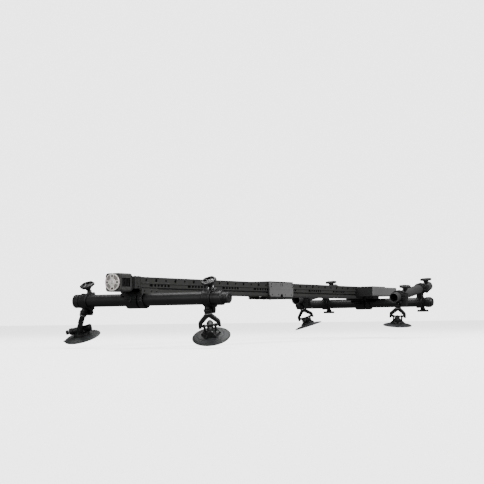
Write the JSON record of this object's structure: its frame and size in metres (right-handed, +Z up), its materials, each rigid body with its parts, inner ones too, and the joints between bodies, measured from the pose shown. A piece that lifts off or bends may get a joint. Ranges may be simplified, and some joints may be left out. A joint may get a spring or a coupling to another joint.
{
  "type": "camera slider",
  "caption": "Long motorised camera slider: a rail with a belt-driven carriage on two cross tubes that stand on suction-cup legs.",
  "frame": {"origin": "centre of the carriage deck's top face, with the carriage at its rest place on the rail", "axes": "+X along the rail from the motor end to the control end, +Z up, +Y to the far side from the control box"},
  "size_m": [2.5043, 0.844, 0.3156],
  "materials": {
    "anodised_black": "black anodised, satin",
    "satin_black": "satin black powder coat",
    "knob_black": "moulded, slightly glossy",
    "plug_black": "moulded, satin",
    "plate_grey": "grey anodised, brushed",
    "silver": "machined, bright",
    "rubber": "matt",
    "belt_black": "matt",
    "board_green": "solder mask",
    "steel": "ground"
  },
  "bodies": {
    "frame": {"rail": "anodised_black", "drive_end_block": "satin_black", "motor_housing": "satin_black", "gearmotor": "silver", "idler_end_block": "satin_black", "control_box": "plate_grey", "control_box_lid": "satin_black", "control_board": "board_green", "front_bracket": "satin_black", "rear_bracket": "satin_black", "front_cross_tube": "anodised_black", "rear_cross_tube": "anodised_black", "front_tube_cap": "plug_black", "front_tube_plug": "plug_black", "rear_tube_cap": "plug_black", "rear_tube_plug": "plug_black", "drive_belt": "belt_black"},
    "carriage": {"carriage_deck": "satin_black", "carriage_side_near": "plate_grey", "carriage_side_far": "plate_grey", "carriage_base": "satin_black", "belt_clamp": "plate_grey"},
    "drive_pulley": {"drive_pulley": "steel"},
    "idler_pulley": {"idler_pulley": "steel"},
    "roller_front_near": {"roller_front_near": "steel"},
    "roller_front_far": {"roller_front_far": "steel"},
    "roller_rear_near": {"roller_rear_near": "steel"},
    "roller_rear_far": {"roller_rear_far": "steel"},
    "outrigger_near": {"outrigger_near": "anodised_black", "cross_clamp_near": "satin_black"},
    "cross_top_knob_near": {"cross_top_knob_near": "knob_black"},
    "cross_bottom_knob_near": {"cross_bottom_knob_near": "knob_black"},
    "outrigger_far": {"outrigger_far": "anodised_black", "cross_clamp_far": "satin_black"},
    "cross_top_knob_far": {"cross_top_knob_far": "knob_black"},
    "cross_bottom_knob_far": {"cross_bottom_knob_far": "knob_black"},
    "front_far_clamp": {"front_far_leg_clamp": "satin_black"},
    "front_far_knob": {"front_far_clamp_knob": "knob_black"},
    "front_far_fork": {"front_far_leg_fork": "satin_black"},
    "front_far_cup": {"front_far_pump_body": "satin_black", "front_far_suction_cup": "rubber"},
    "front_far_plunger": {"front_far_pump_plunger": "satin_black"},
    "front_near_clamp": {"front_near_leg_clamp": "satin_black"},
    "front_near_knob": {"front_near_clamp_knob": "knob_black"},
    "front_near_fork": {"front_near_leg_fork": "satin_black"},
    "front_near_cup": {"front_near_pump_body": "satin_black", "front_near_suction_cup": "rubber"},
    "front_near_plunger": {"front_near_pump_plunger": "satin_black"},
    "rear_near_clamp": {"rear_near_leg_clamp": "satin_black"},
    "rear_near_knob": {"rear_near_clamp_knob": "knob_black"},
    "rear_near_fork": {"rear_near_leg_fork": "satin_black"},
    "rear_near_cup": {"rear_near_pump_body": "satin_black", "rear_near_suction_cup": "rubber"},
    "rear_near_plunger": {"rear_near_pump_plunger": "satin_black"},
    "rear_far_clamp": {"rear_far_leg_clamp": "satin_black"},
    "rear_far_knob": {"rear_far_clamp_knob": "knob_black"},
    "rear_far_fork": {"rear_far_leg_fork": "satin_black"},
    "rear_far_cup": {"rear_far_pump_body": "satin_black", "rear_far_suction_cup": "rubber"},
    "rear_far_plunger": {"rear_far_pump_plunger": "satin_black"}
  },
  "joints": [
    {"name": "carriage_slide", "type": "slide", "parent": "frame", "child": "carriage", "axis": [1, 0, 0], "range_m": [-0.918, 0.753]},
    {"name": "drive_pulley_spin", "type": "hinge", "parent": "frame", "child": "drive_pulley", "pos_m": [-1.166, 0, -0.032], "axis": [0, 1, 0], "range_deg": [-3400, 2900]},
    {"name": "idler_pulley_spin", "type": "hinge", "parent": "frame", "child": "idler_pulley", "pos_m": [1.206, 0, -0.032], "axis": [0, 1, 0], "range_deg": [-3400, 2900]},
    {"name": "roller_front_near_spin", "type": "hinge", "parent": "carriage", "child": "roller_front_near", "pos_m": [-0.09, -0.0197, -0.096], "axis": [0, 0, 1], "range_deg": [-4500, 4500]},
    {"name": "roller_front_far_spin", "type": "hinge", "parent": "carriage", "child": "roller_front_far", "pos_m": [-0.09, 0.0197, -0.096], "axis": [0, 0, 1], "range_deg": [-4500, 4500]},
    {"name": "roller_rear_near_spin", "type": "hinge", "parent": "carriage", "child": "roller_rear_near", "pos_m": [0.09, -0.0197, -0.096], "axis": [0, 0, 1], "range_deg": [-4500, 4500]},
    {"name": "roller_rear_far_spin", "type": "hinge", "parent": "carriage", "child": "roller_rear_far", "pos_m": [0.09, 0.0197, -0.096], "axis": [0, 0, 1], "range_deg": [-4500, 4500]},
    {"name": "outrigger_near_tilt", "type": "hinge", "parent": "frame", "child": "outrigger_near", "pos_m": [1.064, -0.346, -0.096], "axis": [0, 1, 0], "range_deg": [-15, 30]},
    {"name": "cross_top_knob_near_spin", "type": "hinge", "parent": "outrigger_near", "child": "cross_top_knob_near", "pos_m": [1.064, -0.384, -0.023], "axis": [-0.1409, 0, 0.99], "continuous": true},
    {"name": "cross_bottom_knob_near_spin", "type": "hinge", "parent": "outrigger_near", "child": "cross_bottom_knob_near", "pos_m": [1.102, -0.346, -0.096], "axis": [0, 0, 1], "continuous": true},
    {"name": "outrigger_far_tilt", "type": "hinge", "parent": "frame", "child": "outrigger_far", "pos_m": [1.064, 0.223, -0.096], "axis": [0, 1, 0], "range_deg": [-15, 30]},
    {"name": "cross_top_knob_far_spin", "type": "hinge", "parent": "outrigger_far", "child": "cross_top_knob_far", "pos_m": [1.064, 0.185, -0.023], "axis": [-0.1409, 0, 0.99], "continuous": true},
    {"name": "cross_bottom_knob_far_spin", "type": "hinge", "parent": "outrigger_far", "child": "cross_bottom_knob_far", "pos_m": [1.102, 0.223, -0.096], "axis": [0, 0, 1], "continuous": true},
    {"name": "front_far_clamp_turn", "type": "hinge", "parent": "frame", "child": "front_far_clamp", "pos_m": [-1.121, 0.244, -0.096], "axis": [0, 1, 0], "range_deg": [-45, 45]},
    {"name": "front_far_knob_spin", "type": "hinge", "parent": "front_far_clamp", "child": "front_far_knob", "pos_m": [-1.08745, 0.244, -0.07816], "axis": [-0.4695, 0, 0.8829], "continuous": true},
    {"name": "front_far_fork_swivel", "type": "hinge", "parent": "front_far_clamp", "child": "front_far_fork", "pos_m": [-1.13299, 0.244, -0.13521], "axis": [-0.0698, -0.3994, 0.9141], "continuous": true},
    {"name": "front_far_cup_tilt", "type": "hinge", "parent": "front_far_fork", "child": "front_far_cup", "pos_m": [-1.12824, 0.27116, -0.19737], "axis": [0.7861, 0.5422, 0.2969], "range_deg": [-10, 70]},
    {"name": "front_far_plunger_press", "type": "slide", "parent": "front_far_cup", "child": "front_far_plunger", "axis": [0.497, -0.8399, 0.2179], "range_m": [0, 0.01], "stiffness_N_per_m": 300},
    {"name": "front_near_clamp_turn", "type": "hinge", "parent": "frame", "child": "front_near_clamp", "pos_m": [-1.121, -0.342, -0.096], "axis": [0, 1, 0], "range_deg": [-45, 45]},
    {"name": "front_near_knob_spin", "type": "hinge", "parent": "front_near_clamp", "child": "front_near_knob", "pos_m": [-1.08913, -0.342, -0.0753], "axis": [-0.5446, 0, 0.8387], "continuous": true},
    {"name": "front_near_fork_swivel", "type": "hinge", "parent": "front_near_clamp", "child": "front_near_fork", "pos_m": [-1.12952, -0.342, -0.1361], "axis": [-0.3173, -0.0562, 0.9467], "continuous": true},
    {"name": "front_near_cup_tilt", "type": "hinge", "parent": "front_near_fork", "child": "front_near_cup", "pos_m": [-1.10795, -0.33818, -0.20048], "axis": [-0.4884, 0.8654, -0.1123], "range_deg": [-30.5, 49.5]},
    {"name": "front_near_plunger_press", "type": "slide", "parent": "front_near_cup", "child": "front_near_plunger", "axis": [-0.7494, -0.4819, -0.4542], "range_m": [0, 0.01], "stiffness_N_per_m": 300},
    {"name": "rear_near_clamp_turn", "type": "hinge", "parent": "outrigger_near", "child": "rear_near_clamp", "pos_m": [0.75412, -0.346, -0.0671], "axis": [0.99, 0, 0.1409], "range_deg": [-45, 45]},
    {"name": "rear_near_knob_spin", "type": "hinge", "parent": "rear_near_clamp", "child": "rear_near_knob", "pos_m": [0.75454, -0.38388, -0.07005], "axis": [-0.1405, -0.0785, 0.987], "continuous": true},
    {"name": "rear_near_fork_swivel", "type": "hinge", "parent": "rear_near_clamp", "child": "rear_near_fork", "pos_m": [0.75988, -0.34278, -0.10757], "axis": [-0.324, -0.1977, 0.9252], "continuous": true},
    {"name": "rear_near_cup_tilt", "type": "hinge", "parent": "rear_near_fork", "child": "rear_near_cup", "pos_m": [0.78191, -0.32934, -0.17048], "axis": [0.42, -0.9063, -0.0465], "range_deg": [-26, 54]},
    {"name": "rear_near_plunger_press", "type": "slide", "parent": "rear_near_cup", "child": "rear_near_plunger", "axis": [0.9009, 0.4103, 0.1417], "range_m": [0, 0.01], "stiffness_N_per_m": 300},
    {"name": "rear_far_clamp_turn", "type": "hinge", "parent": "outrigger_far", "child": "rear_far_clamp", "pos_m": [0.75412, 0.223, -0.0671], "axis": [0.99, 0, 0.1409], "range_deg": [-45, 45]},
    {"name": "rear_far_knob_spin", "type": "hinge", "parent": "rear_far_clamp", "child": "rear_far_knob", "pos_m": [0.75412, 0.185, -0.0671], "axis": [-0.1409, 0, 0.99], "continuous": true},
    {"name": "rear_far_fork_swivel", "type": "hinge", "parent": "rear_far_clamp", "child": "rear_far_fork", "pos_m": [0.7599, 0.223, -0.10769], "axis": [-0.324, 0.1977, 0.9252], "continuous": true},
    {"name": "rear_far_cup_tilt", "type": "hinge", "parent": "rear_far_fork", "child": "rear_far_cup", "pos_m": [0.78193, 0.20956, -0.17061], "axis": [0.2993, -0.9063, 0.2984], "range_deg": [-26, 54]},
    {"name": "rear_far_plunger_press", "type": "slide", "parent": "rear_far_cup", "child": "rear_far_plunger", "axis": [0.9492, 0.3146, 0.0037], "range_m": [0, 0.01], "stiffness_N_per_m": 300}
  ],
  "couplings": [
    {"joint": "drive_pulley_spin", "follows": "carriage_slide", "rad_per_m": 62.5},
    {"joint": "idler_pulley_spin", "follows": "carriage_slide", "rad_per_m": 62.5},
    {"joint": "roller_front_near_spin", "follows": "carriage_slide", "rad_per_m": -83.333},
    {"joint": "roller_front_far_spin", "follows": "carriage_slide", "rad_per_m": 83.333},
    {"joint": "roller_rear_near_spin", "follows": "carriage_slide", "rad_per_m": -83.333},
    {"joint": "roller_rear_far_spin", "follows": "carriage_slide", "rad_per_m": 83.333}
  ]
}
